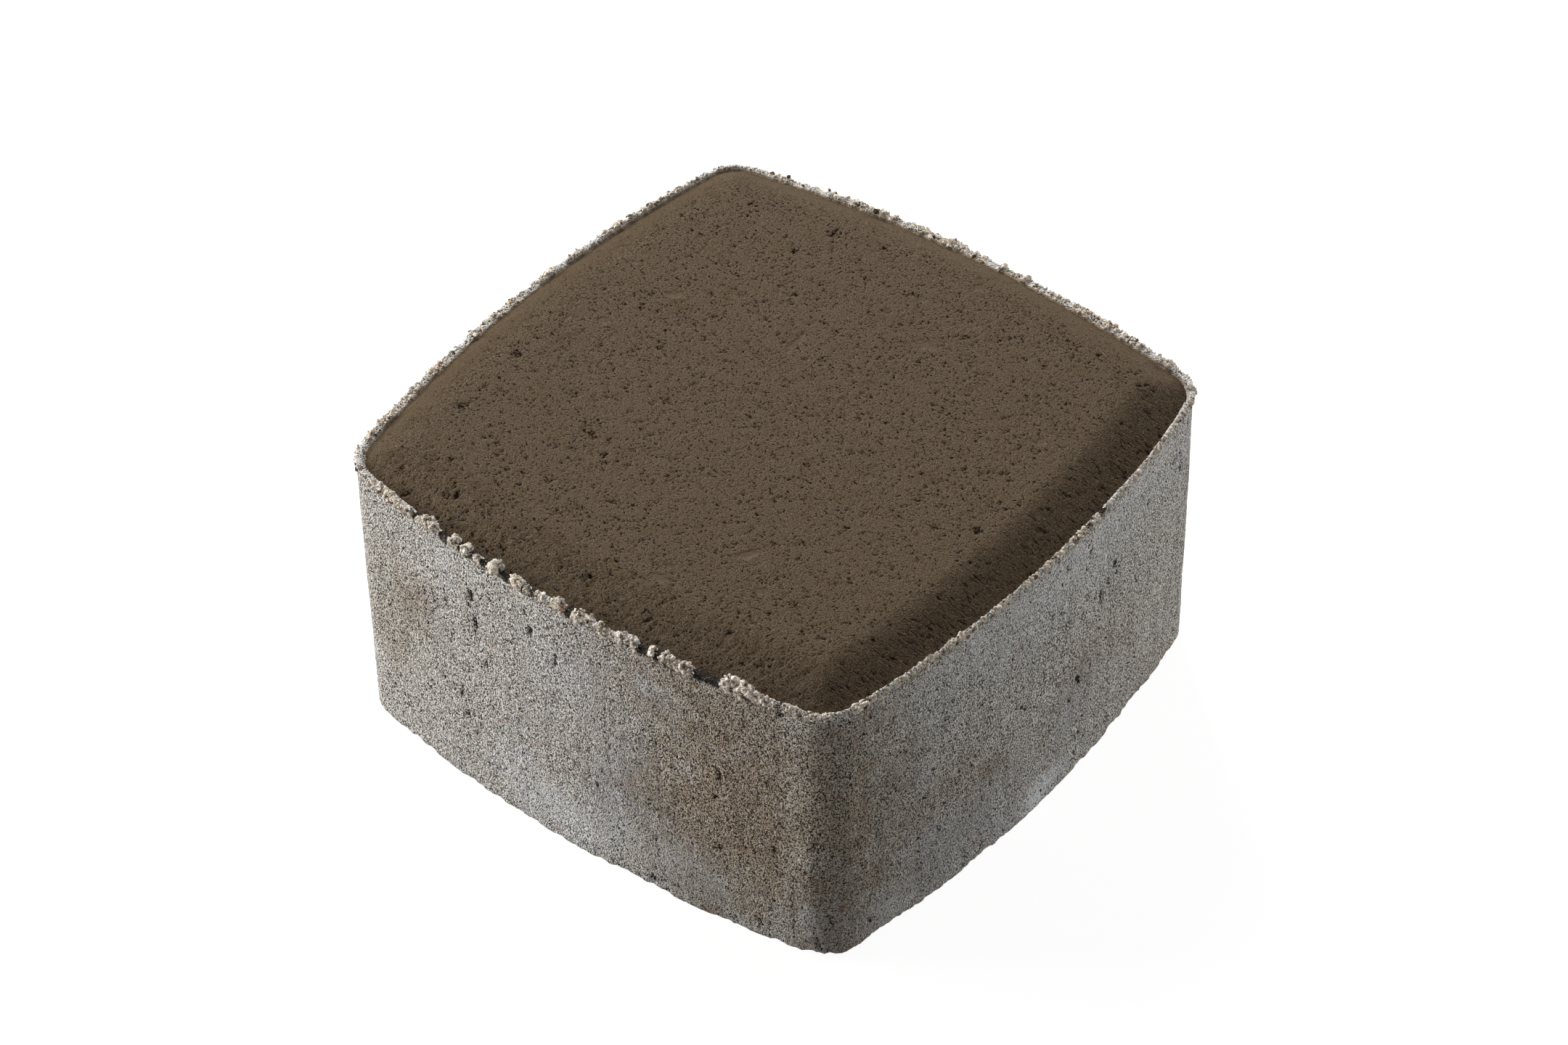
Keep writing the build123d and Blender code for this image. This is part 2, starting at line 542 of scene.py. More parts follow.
def greyConcrete():
    material, tree, surface = newMaterial("greyConcrete")
    place = node(tree, "TexCoord").outputs["Object"]
    drawn = stretched(tree, place, grey["drawScale"])
    grains, pores = grit(tree, drawn, surface, grey)
    base = ramp(tree, grains, grey["stops"])
    base = tint(tree, greyPatches(tree, drawn, "stainPatches"), base, grey["stainAndShade"], "MULTIPLY")
    base = tint(tree, greyPatches(tree, drawn, "bluePatches"), base, grey["blue"])
    upright = stretched(tree, place, grey["streakScale"])
    # dark streaks drawn upright on the flanks, in the same dark tone
    base = tint(tree, greyPatches(tree, upright, "streaks"), base, grey["holeShadeAndStreak"])
    size, stops = grey["rustGrains"]
    picks = node(tree, "TexVoronoi", {"Vector": place, "Scale": 1 / (size * mm)}).outputs["Color"]
    pick = node(tree, "SeparateColor", {"Color": picks}).outputs["Red"]
    base = tint(tree, ramp(tree, pick, stops), base, grey["rustGrain"])
    # stains, and painted shade round the front corner
    base = tint(tree, shade(tree, "stainAndShade"), base, grey["stainAndShade"], "MULTIPLY")
    base = tint(tree, sums(tree, "MULTIPLY", shade(tree, "bloom"), grey["bloomShare"]), base, grey["bloom"])
    # painted shade between the crumbs of the burr
    base = tint(tree, shade(tree, "gapShade"), base, grey["gapShade"])
    # pale film and painted highlight along the lip
    base = tint(tree, shade(tree, "filmAndHighlight"), base, grey["filmAndHighlight"])
    # painted shade in the pores
    base = tint(tree, sums(tree, "MULTIPLY", pores, grey["poreShadeShare"]), base, grey["holeShadeAndStreak"])
    # the brown on the lip, with painted light against the shade there
    base = tint(tree, shade(tree, "skin"), base, grey["skin"])
    # painted shade in the hollows
    base = tint(tree, sums(tree, "MULTIPLY", shade(tree, "hollow"), grey["hollowShadeShare"]), base, grey["holeShadeAndStreak"])
    tree.links.new(base, surface.inputs["Base Color"])
    return material


body = {
    "around": 820,
    "rows": 100,  # down the flanks
    "bedRings": 46,
    "bedSpacing": 0.8,  # points on each ring of the bed, against those on its rim
    "bedSunk": 0.05,
    "bedPoreDepth": 0.5,
    "bedPoreSpan": (0.1, 0.6),
    "bedHollow": 0.6,
    # size of the largest lumps in mm, seed, octaves, how fast the finer ones fade, and their stretch
    "noise": {"ragged": (5.0, 49, 3), "pores": (1.0, 41, 3, 0.6, (1, 1, 1.4)),
              "pits": (1.5, 43, 3, 0.7, (1, 1, 1.8)), "grain": (1.0, 44, 2), "rough": (1.3, 53, 3),
              "wave": (18, 45, 2)},
    "bedNoise": (3.0, 51, 4),
    "chipNoise": (6, 47, 4),
    "waviness": 0.16,
    "waveLevel": 0.6,  # keeps the waves inside the wall of the solid
    "grainHeight": 0.04,
    "poreDepth": 0.08,
    "poreSpan": (0.30, 0.58),
    "pitDepth": 0.34,
    "pitSpan": (0.52, 0.95),
    # painted shade in the hollows: depth where it is full, and the most of it that shows
    "hollow": (0.55, 0.9),
    # the bed edge is broken back: how far, up to what height, how much of it, and how far up its chips go
    "edgeChips": 0.6,
    "chipHeight": 2.6,
    "chipShare": 0.15,
    "chipRise": 0.7,
    # side, place along it, height, width and depth of the pits that stand out
    "pits": [("front", -21.5, 47.5, 1.6, 1.0), ("front", -20.8, 40.6, 1.8, 1.0),
             ("front", -7.2, 48.0, 1.5, 0.9), ("front", -1.9, 44.4, 1.4, 0.7),
             ("front", -18.5, 33.0, 1.2, 0.6), ("front", -25.5, 22.0, 1.6, 0.6),
             ("front", 2.5, 26.0, 1.4, 0.5), ("front", -24.5, 17.0, 1.6, 0.6),
             ("right", 16.6, 36.6, 1.4, 1.1), ("right", 21.1, 41.6, 1.6, 0.7),
             ("right", 18.8, 39.4, 1.4, 0.6), ("right", 9.6, 22.5, 1.5, 0.8),
             ("right", 45.5, 45.0, 1.2, 0.8), ("right", 10.4, 37.0, 1.2, 0.5),
             ("back", 12.0, 38.0, 1.6, 0.9), ("back", -28.0, 24.0, 1.4, 0.8),
             ("left", -16.0, 44.0, 1.5, 0.9), ("left", 26.0, 19.0, 1.7, 0.8)],
    "pitFlatten": 0.26,  # they are nearly four times as tall as wide
    "pitRagged": 0.7,
    "pitStrength": (1.3, 1.1),  # times the depth, and the most
    "pitSink": 0.65,
    # side, place along it, height, length, tallness and strength
    # the tall ones at the front corner and beside it are brown stain and painted shade, the rest stains
    "stainsAndShade": [("front", -36.5, 35.0, 18, 20, 0.5), ("front", -44.0, 24.0, 20, 22, 0.4),
               ("front", 1.0, 20.0, 24, 16, 0.2), ("front", 35.0, 28.0, 56, 110, 0.80),
               ("corner", 0.0, 32.0, 40, 110, 0.68), ("corner", 0.0, 26.0, 20, 90, 0.5),
               ("right", -14.8, 21.0, 10, 7, 0.5), ("right", -30.0, 24.0, 30, 16, 0.4),
               ("right", 20.0, 24.0, 26, 18, 0.15), ("back", -10.0, 30.0, 26, 20, 0.5),
               ("left", 18.0, 34.0, 22, 18, 0.5), ("left", -30.0, 18.0, 18, 14, 0.4)],
    "blooms": [("front", -2.0, 8.0, 40, 20, 0.45), ("front", 26.0, 10.0, 26, 14, 0.2),
               ("front", 0.0, 38.0, 30, 36, 0.2), ("right", -0.6, 3.5, 14, 9, 1.35),
               ("right", -40.0, 5.0, 14, 12, 0.3), ("right", 2.0, 54.0, 90, 26, 0.45),
               ("front", -24.0, 52.0, 30, 7, 0.15), ("back", 22.0, 8.0, 20, 9, 0.4),
               ("left", -8.0, 10.0, 24, 11, 0.35)],
    "blotchEdge": (0.0, 1.3),
    "blotchRagged": 0.45,
    "cornerOut": 4.0,  # from the centre of the front corner to the place of its stains and painted shade
}


def wallPlace(side, place):
    # a place on the wall in plan, from the middle of a side or at the front corner
    sunk = halfWidth - place**2 / (2 * bowRadius)
    corner = cornerCentre + body["cornerOut"]
    return {"front": (place, -sunk), "right": (sunk, place), "back": (place, sunk), "left": (-sunk, place),
            "corner": (corner, -corner)}[side]


def blotches(points, listed, ragged):
    # soft patches on the flanks, strongest in their middles
    total = np.zeros(len(points))
    for side, place, height, length, tallness, strength in listed:
        x, y = wallPlace(side, place)
        away = np.hypot(points[:, 0] - x, points[:, 1] - y)
        reach = np.hypot(away / length, (points[:, 2] - height) / tallness) * 2
        reach = reach + body["blotchRagged"] * ragged
        total = np.maximum(total, strength * (1 - smooth(*body["blotchEdge"], reach)))
    return total


def flankPits(points, rough):
    marked = np.zeros(len(points))
    times, most = body["pitStrength"]
    for side, place, height, width, depth in body["pits"]:
        x, y = wallPlace(side, place)
        away = np.hypot(points[:, 0] - x, points[:, 1] - y)
        up = (points[:, 2] - height) * body["pitFlatten"]
        reach = np.hypot(away, up) / (width / 3.0) + body["pitRagged"] * rough
        marked = np.maximum(marked, min(times * depth, most) * (1 - smooth(0.0, 1.3, reach)))
    return marked


def sectionRows():
    # inset from the wall and height of each row, from under the lip down to the bed
    top = lipCrest - stone["lipSeam"]
    tall = top - stone["bedRound"]
    rows = [(0.0, top - tall * row / body["rows"]) for row in range(body["rows"] + 1)]
    halfway = 0.3 * stone["bedRound"]  # on the rounding of the bed edge, at 45 degrees
    rows += [(halfway, halfway), (stone["bedRound"], 0.0)]
    return rows


def bridge(outer, inner):
    # triangles between two closed loops with different counts
    faces = []
    i = j = 0
    n, m = len(outer), len(inner)
    while i < n or j < m:
        if j >= m or (i < n and (i + 1) / n <= (j + 1) / m):
            faces.append([int(outer[i % n]), int(inner[j % m]), int(outer[(i + 1) % n])])
            i += 1
        else:
            faces.append([int(outer[i % n]), int(inner[j % m]), int(inner[(j + 1) % m])])
            j += 1
    return faces


def bedNet(rim, edge, total):
    # a coarser net of rings inside the last row, down to a small middle
    count = len(rim)
    points = []
    faces = []
    previous = rim
    for ring in range(1, body["bedRings"]):
        share = 1 - ring / body["bedRings"]
        want = max(12, round(count * share * body["bedSpacing"]))
        pick = np.round(np.arange(want) / want * count).astype(int) % count
        points.append(edge[pick] * [share, share, 0])
        these = total + np.arange(want)
        total += want
        faces += bridge(previous, these)
        previous = these
    return np.concatenate(points), faces + [previous[::-1].tolist()]


def stoneBody():
    count = body["around"]
    places, normals = outline(count)
    rows = sectionRows()
    inset = np.array([row[0] for row in rows])[:, None] * np.ones(count)
    level = np.array([row[1] for row in rows])[:, None] * np.ones(count)
    spread = places[None] - normals[None] * inset[:, :, None]
    points = np.concatenate([spread, level[:, :, None]], -1).reshape(-1, 3)
    outward = np.tile(np.c_[normals, np.zeros(count)], (len(rows), 1))
    level = level.ravel()

    noises = fractals(points, body["noise"])
    pore = smooth(*body["poreSpan"], noises["pores"])
    pit = smooth(*body["pitSpan"], noises["pits"])
    marked = flankPits(points, noises["rough"])
    drop = body["poreDepth"] * pore + body["pitDepth"] * pit + body["pitSink"] * marked
    chips = np.clip(fractal(points * [1, 1, 0.3], *body["chipNoise"]) + body["chipShare"], 0, 1)
    chips = body["edgeChips"] * chips * (1 - smooth(0.0, body["chipHeight"], points[:, 2]))
    wave = body["waviness"] * (noises["wave"] - body["waveLevel"])
    relief = wave + body["grainHeight"] * noises["grain"] - drop - chips
    points = points + outward * relief[:, None]
    points[:, 2] += np.where(level < 1.0, body["chipRise"] * chips, 0)

    index = np.arange(len(rows) * count).reshape(len(rows), count)
    nextIndex = np.roll(index, -1, 1)
    quads = np.stack([index[:-1], index[1:], nextIndex[1:], nextIndex[:-1]], -1).reshape(-1, 4)
    bed, bedFaces = bedNet(index[-1], points[index[-1]], len(points))
    bedPores = smooth(*body["bedPoreSpan"], fractal(bed, *body["bedNoise"]))
    bed[:, 2] += body["bedPoreDepth"] * bedPores + body["bedSunk"]
    faces = quads.tolist() + [list(range(count))] + bedFaces
    piece = meshPiece("stone_body", np.concatenate([points, bed]), faces, greyConcrete())
    none = np.zeros(len(bed))
    ragged = noises["ragged"]
    # painted shade in the hollows of the flanks and the pores of the bed
    addShade(piece, "hollow", np.r_[paintedHollowShade(drop, *body["hollow"]), bedPores * body["bedHollow"]])
    # stains, and painted shade round the front corner
    addShade(piece, "stainAndShade", np.r_[blotches(points, body["stainsAndShade"], ragged), none])
    addShade(piece, "bloom", np.r_[blotches(points, body["blooms"], ragged), none])
    finishPiece(piece)
    return points[:count]


# The lip round the rim, in the same grey concrete

lip = {
    "around": 2400,
    # share of the way round from the middle of the +X side anticlockwise, and there, in mm, how thick the
    # burr is, how far in from the wall its inner edge lies, how far down the wall it reaches, and how broken
    "stations": [(0.00, 0.22, 0.9, 0.7, 0.2), (0.02, 0.32, 1.1, 0.8, 0.6), (0.05, 0.32, 1.1, 0.8, 0.6),
                 (0.07, 0.20, 0.8, 0.6, 0.1), (0.105, 0.24, 1.0, 0.7, 0.1), (0.12, 0.34, 1.3, 1.0, 0.2),
                 (0.15, 0.48, 1.7, 1.3, 0.2), (0.25, 0.62, 1.9, 1.5, 0.3), (0.34, 0.46, 1.5, 1.2, 0.2),
                 (0.375, 0.28, 1.0, 0.9, 0.1), (0.41, 0.38, 1.2, 1.1, 0.2), (0.45, 0.42, 1.4, 1.2, 0.3),
                 (0.50, 0.45, 1.7, 1.2, 0.3), (0.595, 0.42, 1.7, 1.2, 0.3), (0.625, 0.28, 1.6, 1.0, 0.3),
                 (0.65, 0.34, 1.4, 1.0, 0.6), (0.70, 0.42, 1.2, 1.0, 1.0), (0.80, 0.46, 1.2, 1.4, 1.0),
                 (0.84, 0.50, 1.3, 1.5, 0.4), (0.87, 0.40, 1.2, 1.1, 0.2), (0.90, 0.22, 1.0, 0.7, 0.1)],
    # places along the front side, widths and depths of the gaps, and then of the blocks that stand up
    "gaps": [(-34.7, 1.6, 0.8), (-27.9, 1.4, 0.8), (-20.4, 1.2, 0.7), (-17.2, 2.0, 0.9), (-12.4, 2.2, 0.9),
             (-6.0, 1.4, 0.6), (1.8, 1.8, 0.8), (17.4, 2.4, 1.0), (30.3, 4.0, 1.2), (44.0, 1.0, 0.5)],
    "blocks": [(-31.4, 3.0, 0.4), (-25.2, 2.8, 0.5), (-22.0, 1.6, 0.3), (-14.9, 2.2, 0.5), (-9.6, 2.0, 0.3),
               (-0.6, 3.0, 0.3), (5.3, 3.0, 0.3), (14.2, 3.4, 0.4), (20.8, 4.0, 0.4), (26.0, 3.0, 0.2),
               (35.4, 7.0, 0.4), (45.0, 3.0, 0.1)],
    "frontMiddle": 0.75,  # share of the way round
    "gapEdge": (0.25, 0.75),
    "blockEdge": (0.35, 0.65),
    "openSpan": (0.10, 0.55),  # the noise opens the lip between these values
    "noise": {"lumpy": (6.0, 71, 3), "fine": (1.7, 73, 3), "edge": (8.0, 63, 3), "openings": (2.6, 61, 3)},
    "brokenNoise": (1.4, 67, 4, 0.4),
    "thickRange": (0.2, 1.7),  # least and most that the noise makes of the thickness
    "crestRise": 0.22,  # of the crest, against the thickness there
    "blockRise": 1.5,  # how far blocks lift the crest and push its inner edge in
    # the lip is worn low at the back corner: how far round, how deep, and over what shares
    "wornPlace": 0.375,
    "wornDepth": 0.4,
    "wornSpan": (0.02, 0.06),
    # of the rows of its section: how much each is broken, which lie outside, and which take each shade
    "brokenRows": [0, 0, 0.05, 0.05, 0.2, 0.3, 0.3, 0.3, 0.3, 0.3, 0.25, 0.1],
    "outsideRow": 7,
    "gapRows": slice(5, 11),
    "filmRows": slice(1, 6),
    "crestRows": slice(6, 8),
    "skinRows": slice(0, 4),
    "hollowRows": slice(1, 10),
    "rowStep": 0.12,  # least height between the rows outside
    "coatSpan": (0.22, 0.45),  # the burr hides the lip where it is thicker than this
}


def rimShape():
    # thickness, inner edge, reach down the wall, height of the crest and openness, round the outline
    count = lip["around"]
    share = np.arange(count) / count
    places, normals = outline(count)
    noises = fractals(np.c_[places, np.zeros(count)], lip["noise"])
    fine = noises["fine"]
    table = np.array(lip["stations"]).T
    thick, inner, down, broken = [np.interp(share, table[0], row, period=1) for row in table[1:]]
    thick = thick * np.clip(0.85 + 0.8 * noises["lumpy"] + 0.5 * fine, *lip["thickRange"])
    inner = inner + 0.5 * thick * noises["edge"] + 0.16 * fine

    along = (share - lip["frontMiddle"]) * 4 * quarterLength
    opened = broken * smooth(*lip["openSpan"], noises["openings"])
    raised = np.zeros(count)
    for place, width, depth in lip["gaps"]:
        reach = abs(along - place) / width + 0.25 * fine
        opened = np.maximum(opened, depth * (1 - smooth(*lip["gapEdge"], reach)))
    for place, width, rise in lip["blocks"]:
        reach = abs(along - place) / width + 0.15 * fine
        raised = np.maximum(raised, rise * (1 - smooth(*lip["blockEdge"], reach)))
    opened = np.clip(opened, 0, 1)
    raised = raised * (1 - opened)
    crest = lipCrest + lip["crestRise"] * thick * (1 + fine) + lip["blockRise"] * raised - opened
    crest -= lip["wornDepth"] * (1 - smooth(*lip["wornSpan"], abs(share - lip["wornPlace"])))
    return {"places": places, "normals": normals, "near": nearShare(places[:, 0], places[:, 1]),
            "thick": thick * (1 - 0.7 * opened) + 0.45 * raised, "inner": inner + lip["blockRise"] * raised,
            "down": down, "crest": crest, "opened": opened, "broken": broken}


def rimSection(rim):
    inner, thick, crest = rim["inner"], rim["thick"], rim["crest"]
    skin = faceHeight(inner, rim["near"]) + 0.08
    filmAndHighlight = np.minimum(0.36, 0.3 * inner)
    wide = smooth(1.2, 1.8, inner)
    ridge = np.maximum(crest - 0.35 * wide, skin + 0.04)
    outer = np.minimum(0.35, 0.3 * inner)
    low = lipCrest - stone["lipSeam"]
    deep = np.clip(rim["down"], 0.5, 1.7)
    section = [  # inset from the wall and height of each row
        (inner + 1.5, skin - 0.9),  # inside the stone
        (inner + 0.12, skin - 0.4),
        (inner, skin),  # the film laps onto the face
        (inner - filmAndHighlight, skin + 0.03),
        (inner - 1.3 * filmAndHighlight, skin + 0.4 * (ridge - skin)),
        (inner - 1.9 * filmAndHighlight, ridge),  # the crest, inside and out
        (outer, ridge),
        (-0.05 - 0.15 * thick, ridge - 0.12),  # proud of the wall
        (-0.03 - 0.28 * thick, ridge - 0.40),
        (-0.28 * thick, ridge - 0.25 - 0.4 * deep),
        (-0.18 * thick, ridge - 0.3 - 0.75 * deep),  # and back to it
        (-0.05 * thick, np.full(len(inner), low + lip["rowStep"])),
    ]
    insets = np.array([inset for inset, height in section])
    heights = np.array([height for inset, height in section])
    outside = lip["outsideRow"]
    steps = np.arange(len(section) - outside, 0, -1)[:, None]
    heights[outside:] = np.maximum(heights[outside:], low + lip["rowStep"] * steps)
    spread = rim["places"][None] - rim["normals"][None] * insets[:, :, None]
    return np.concatenate([spread, heights[:, :, None]], -1), insets, heights


def rimLip(flankTop):
    count = lip["around"]
    rim = rimShape()
    points, insets, heights = rimSection(rim)
    rows = len(points)

    # broken a little along the way out from the middle of the section
    awayIn = 0.5 - insets
    awayUp = heights - (lipCrest - 0.7)
    length = np.hypot(awayIn, awayUp) + 1e-6
    lumps = fractal(points.reshape(-1, 3), *lip["brokenNoise"]).reshape(rows, count)
    amount = np.array(lip["brokenRows"])[:, None]
    push = lumps * amount * (0.35 + 1.2 * rim["thick"] + 0.9 * rim["broken"])
    points[:, :, :2] += rim["normals"][None] * (push * awayIn / length)[:, :, None]
    points[:, :, 2] += push * awayUp / length

    # the last row lies on the edge of the flanks
    spots = np.arange(count) / count * len(flankTop)
    wrapped = np.r_[flankTop, flankTop[:1]]
    seam = np.stack([np.interp(spots, np.arange(len(wrapped)), wrapped[:, axis]) for axis in range(3)], 1)
    points = np.concatenate([points, seam[None]])
    rows += 1
    index = np.arange(rows * count).reshape(rows, count)
    nextIndex = np.roll(index, -1, 1)
    below = np.roll(index, -1, 0)
    quads = np.stack([index, below, np.roll(below, -1, 1), nextIndex], -1).reshape(-1, 4)
    piece = meshPiece("rim_lip", points.reshape(-1, 3), quads.tolist(), greyConcrete())

    coat = smooth(*lip["coatSpan"], rim["thick"])
    gapShade, filmAndHighlight, skin, hollow = np.zeros((4, rows, count))
    # painted shade under the burr, darker on the near sides
    gapShade[lip["gapRows"]] = coat * (0.4 + 0.5 * rim["near"])
    # pale film and painted highlight at the inner edge, and painted highlight on the crest where no burr
    # hides it
    filmAndHighlight[lip["filmRows"]] = 0.95
    filmAndHighlight[lip["crestRows"]] = 0.75 * (1 - coat)
    # the brown on the lip of the far sides, with painted light against its shade
    skin[lip["skinRows"]] = 1 - rim["near"]
    # painted shade in the notches where the lip is broken open
    hollow[lip["hollowRows"]] = 0.9 * smooth(0.2, 0.6, rim["opened"])
    addShade(piece, "gapShade", gapShade.ravel())
    addShade(piece, "filmAndHighlight", (filmAndHighlight * (1 - hollow)).ravel())
    addShade(piece, "skin", skin.ravel())
    addShade(piece, "hollow", hollow.ravel())
    finishPiece(piece)
    return rim, points


# The burr: crumbs of the mix pressed out round the rim, each a dented ball on the lip

burr = {
    "seed": 7,
    # name, from and to as shares of the way round, and crumbs
    "pieces": [("back_burr", 0.10, 0.64, 9700), ("front_burr", 0.64, 1.10, 9200)],
    # how densely they lie: everywhere, and more with the thickness past a least one, up to a most
    "crowd": 0.03,
    "crowdFrom": 0.08,
    "crowdMost": 0.55,
    "fewer": (0.4, 0.15),  # in the gaps, and where the lip is broken
    "rows": (4.3, 5.2, 10.6),  # first row of the lip where it is thick, where it is thin, and the last
    "thin": 0.3,
    "radius": (0.17, 0.45, 0.08, 0.55),  # in mm: middle, spread, least and most
    "brownRow": 5,  # before this row they are smaller, beside the brown
    "brownLess": 0.4,
    "sunk": 0.7,  # how far they may lie in or stand out, against their radius
    "proud": 0.10,
    "stretch": (0.55, 1.4),
    "dents": (0.65, 1.3),
    "grainSize": 0.3,
    "grainHeight": 0.1,
    # painted shade in the low spots between the grains of each crumb
    "pores": [(0.34, 0.5), (0.42, 0.0)],
    "stops": [(0.00, colour(66, 54, 42)), (0.10, colour(140, 128, 112)), (0.22, colour(226, 212, 194)),
              (0.60, colour(246, 235, 219)), (0.95, colour(254, 250, 242)), (0.965, colour(224, 204, 180)),
              (0.985, colour(210, 168, 138)), (1.00, colour(188, 128, 104))],
}


def burrConcrete():
    material, tree, surface = newMaterial("burrConcrete")
    place = node(tree, "TexCoord").outputs["Object"]
    base = ramp(tree, shade(tree, "tone"), burr["stops"])
    grains = grainNoise(tree, place, burr["grainSize"])
    # painted shade in the low spots between the grains of each crumb
    base = tint(tree, ramp(tree, grains, burr["pores"]), base, grey["holeShadeAndStreak"])
    tree.links.new(base, surface.inputs["Base Color"])
    bump = node(tree, "Bump", {"Height": grains, "Strength": 1.0, "Distance": burr["grainHeight"] * mm})
    tree.links.new(bump.outputs["Normal"], surface.inputs["Normal"])
    return material


def crumbShape():
    ball = bmesh.new()
    bmesh.ops.create_icosphere(ball, subdivisions=1, radius=1)
    points = np.array([list(v.co) for v in ball.verts])
    faces = np.array([[v.index for v in f.verts] for f in ball.faces])
    ball.free()
    return points, faces


def crumbTurns(draw, count):
    # a random turn for each crumb
    spin = draw.normal(size=(count, 4))
    w, x, y, z = (spin / np.linalg.norm(spin, axis=1)[:, None]).T
    return np.stack([1 - 2 * (y * y + z * z), 2 * (x * y - w * z), 2 * (x * z + w * y),
                     2 * (x * y + w * z), 1 - 2 * (x * x + z * z), 2 * (y * z - w * x),
                     2 * (x * z - w * y), 2 * (y * z + w * x), 1 - 2 * (x * x + y * y)], 1).reshape(-1, 3, 3)


def rimBurr(name, start, end, count, rim, lipPoints):
    draw = np.random.default_rng(burr["seed"])
    around = lip["around"]
    share = np.arange(around) / around
    here = (share >= start) & (share < end) | (share < end - 1)
    crowd = burr["crowd"] + np.clip(rim["thick"] - burr["crowdFrom"], 0, burr["crowdMost"])
    inGaps, inBreaks = burr["fewer"]
    chance = np.cumsum(here * crowd * (1 - inGaps * rim["opened"]) * (1 - inBreaks * rim["broken"]))
    place = np.interp(draw.random(count), chance / chance[-1], np.arange(around))
    column = place.astype(int)
    nextColumn = (column + 1) % around
    part = (place - column)[:, None]
    thick = rim["thick"][column]
    opened = rim["opened"][column]

    # on the lip, from behind its film over the crest and down the outside
    thickRow, thinRow, lastRow = burr["rows"]
    row = draw.uniform(np.where(thick > burr["thin"], thickRow, thinRow), lastRow)
    upper = row.astype(int)
    rest = (row - upper)[:, None]
    above = lipPoints[upper, column] * (1 - part) + lipPoints[upper, nextColumn] * part
    beneath = lipPoints[upper + 1, column] * (1 - part) + lipPoints[upper + 1, nextColumn] * part
    surface = above * (1 - rest) + beneath * rest
    middle = np.c_[rim["places"][column] - rim["normals"][column] * 0.6, np.full(count, lipCrest - 0.6)]
    away = surface - middle
    away /= np.linalg.norm(away, axis=1)[:, None]
    usual, spread, least, most = burr["radius"]
    radius = np.exp(draw.normal(math.log(usual), spread, count)).clip(least, most)
    radius = radius * (0.6 + 0.8 * thick) * (1 - 0.3 * opened)
    radius *= 1 - burr["brownLess"] * (row < burr["brownRow"])
    out = radius * draw.uniform(-burr["sunk"], burr["sunk"], count)
    out += burr["proud"] * thick * draw.random(count)
    centre = surface + away * out[:, None]

    ball, ballFaces = crumbShape()
    stretch = draw.uniform(*burr["stretch"], (count, 1, 3))
    dents = draw.uniform(*burr["dents"], (count, len(ball), 1))
    turns = crumbTurns(draw, count)
    crumbs = np.einsum("nij,nkj->nki", turns, ball[None] * dents * stretch * radius[:, None, None])
    points = (crumbs + centre[:, None]).reshape(-1, 3)
    faces = (ballFaces[None] + len(ball) * np.arange(count)[:, None, None]).reshape(-1, 3)
    piece = meshPiece(name, points, faces.tolist(), burrConcrete(), rounded=False)
    tone = draw.random(count) * (1 - 0.9 * smooth(0.35, 0.8, opened))  # painted shade: darker in the gaps of the lip
    addShade(piece, "tone", np.repeat(tone, len(ball)))
    finishPiece(piece)


wearingFace()
flankTop = stoneBody()
rim, lipPoints = rimLip(flankTop)
for name, start, end, count in burr["pieces"]:
    rimBurr(name, start, end, count, rim, lipPoints)


# Floor, lights and camera

studio = {
    "floorReach": 6.0,
    "floorTone": 0.22,
    "floorGlow": (0.22, 0.92),  # as the stone sees it and as the camera sees it
    "worldGlow": (0.20, 1.0),
    "aimHeight": 0.03,
    # name, direction to the lamp, distance, width, height in metres, and its light on a surface that faces it
    "lamps": [("leftSoftbox", (-0.87, -0.47, 0.15), 0.9, 0.5, 0.25, 1.08),
              ("rightSoftbox", (0.34, 0.94, 0.12), 0.9, 0.5, 0.25, 0.57),
              ("backSoftbox", (-0.67, 0.43, 0.60), 1.0, 0.5, 0.5, 1.0)],
}


def cameraGlow(tree, glow):
    # one strength for the stone's light and another for the camera
    seen = node(tree, "LightPath").outputs["Is Camera Ray"]
    low, high = glow
    return node(tree, "MapRange", {"Value": seen, "To Min": low, "To Max": high}).outputs["Result"]


def makeFloor():
    mesh = bpy.data.meshes.new("floor")
    reach = studio["floorReach"]
    corners = [(-reach, -reach, 0), (reach, -reach, 0), (reach, reach, 0), (-reach, reach, 0)]
    mesh.from_pydata(corners, [], [(0, 1, 2, 3)])
    floor = bpy.data.objects.new("floor", mesh)
    bpy.context.scene.collection.objects.link(floor)
    material, tree, surface = newMaterial("floorPaper", 1.0, 0.0)
    tone = studio["floorTone"]
    surface.inputs["Base Color"].default_value = (tone, tone, tone, 1)
    surface.inputs["Emission Color"].default_value = (1, 1, 1, 1)
    tree.links.new(cameraGlow(tree, studio["floorGlow"]), surface.inputs["Emission Strength"])
    mesh.materials.append(material)


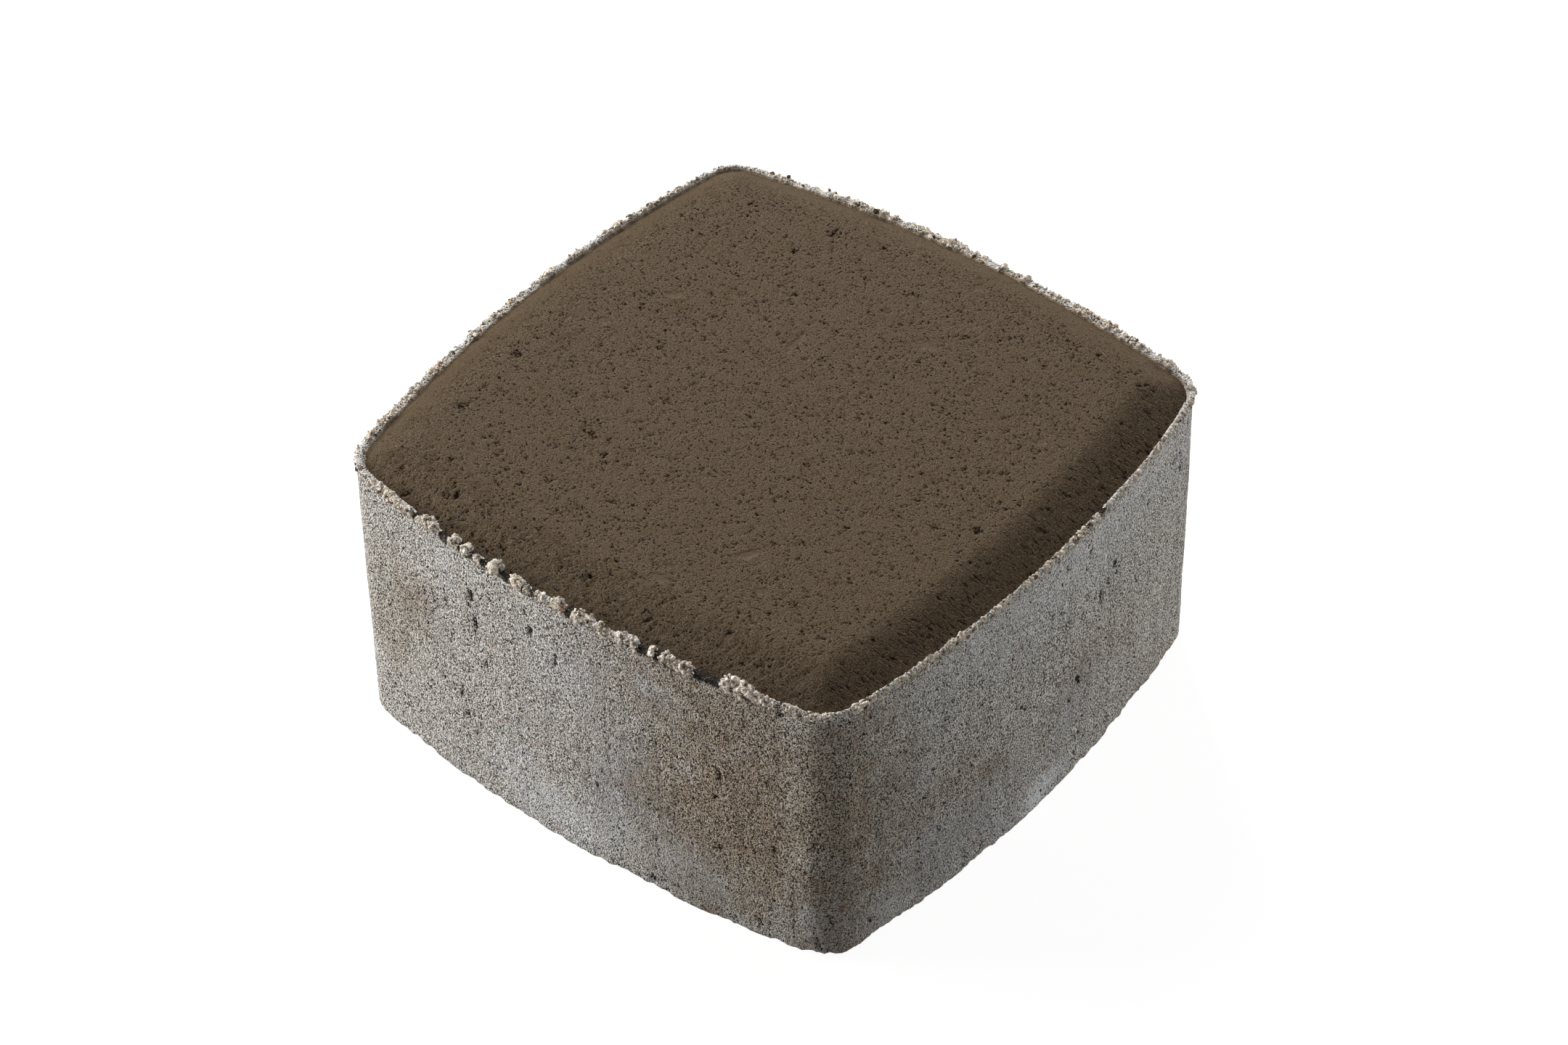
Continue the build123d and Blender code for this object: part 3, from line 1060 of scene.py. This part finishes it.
def makeLights():
    for name, direction, distance, width, height, level in studio["lamps"]:
        lamp = bpy.data.lights.new(name, "AREA")
        lamp.shape = "RECTANGLE"
        lamp.size = width
        lamp.size_y = height
        lamp.energy = level * math.pi**2 * distance**2  # level 1 shows a colour as it is written
        holder = bpy.data.objects.new(name, lamp)
        heading = Vector(direction).normalized()
        holder.location = heading * distance + Vector((0, 0, studio["aimHeight"]))
        holder.rotation_euler = (-heading).to_track_quat("-Z", "Y").to_euler()
        bpy.context.scene.collection.objects.link(holder)
    world = bpy.data.worlds.new("studio")
    bpy.context.scene.world = world
    world.use_nodes = True
    tree = world.node_tree
    back = tree.nodes["Background"]
    back.inputs["Color"].default_value = (1, 1, 1, 1)
    tree.links.new(cameraGlow(tree, studio["worldGlow"]), back.inputs["Strength"])


camera = {
    "azimuth": 38.92,  # degrees, 0 looks along +Y
    "elevation": 42.5,
    "distance": 0.8496,  # metres from the middle of the stone
    "targetHeight": 0.0291,
    "roll": -0.98,
    "lens": 109.17,
    "sensor": 36.0,
    "shift": (0.00292, 0.01417),
    "clipping": (0.01, 50),
}


def makeCamera():
    lens = bpy.data.cameras.new("camera")
    lens.lens = camera["lens"]
    lens.sensor_width = camera["sensor"]
    lens.shift_x, lens.shift_y = camera["shift"]
    lens.clip_start, lens.clip_end = camera["clipping"]
    holder = bpy.data.objects.new("camera", lens)
    azimuth = math.radians(camera["azimuth"])
    elevation = math.radians(camera["elevation"])
    level = math.cos(elevation)
    back = Vector((math.sin(azimuth) * level, -math.cos(azimuth) * level, math.sin(elevation)))
    right = Vector((math.cos(azimuth), math.sin(azimuth), 0))
    up = back.cross(right)
    roll = math.radians(camera["roll"])
    tiltedRight = right * math.cos(roll) + up * math.sin(roll)
    tiltedUp = up * math.cos(roll) - right * math.sin(roll)
    place = Vector((0, 0, camera["targetHeight"])) + back * camera["distance"]
    facing = Matrix((tiltedRight, tiltedUp, back)).transposed()
    holder.matrix_world = Matrix.Translation(place) @ facing.to_4x4()
    bpy.context.scene.collection.objects.link(holder)
    bpy.context.scene.camera = holder


makeFloor()
makeLights()
makeCamera()
bpy.context.scene.view_settings.view_transform = "Standard"
print("floor, lights and camera in place")
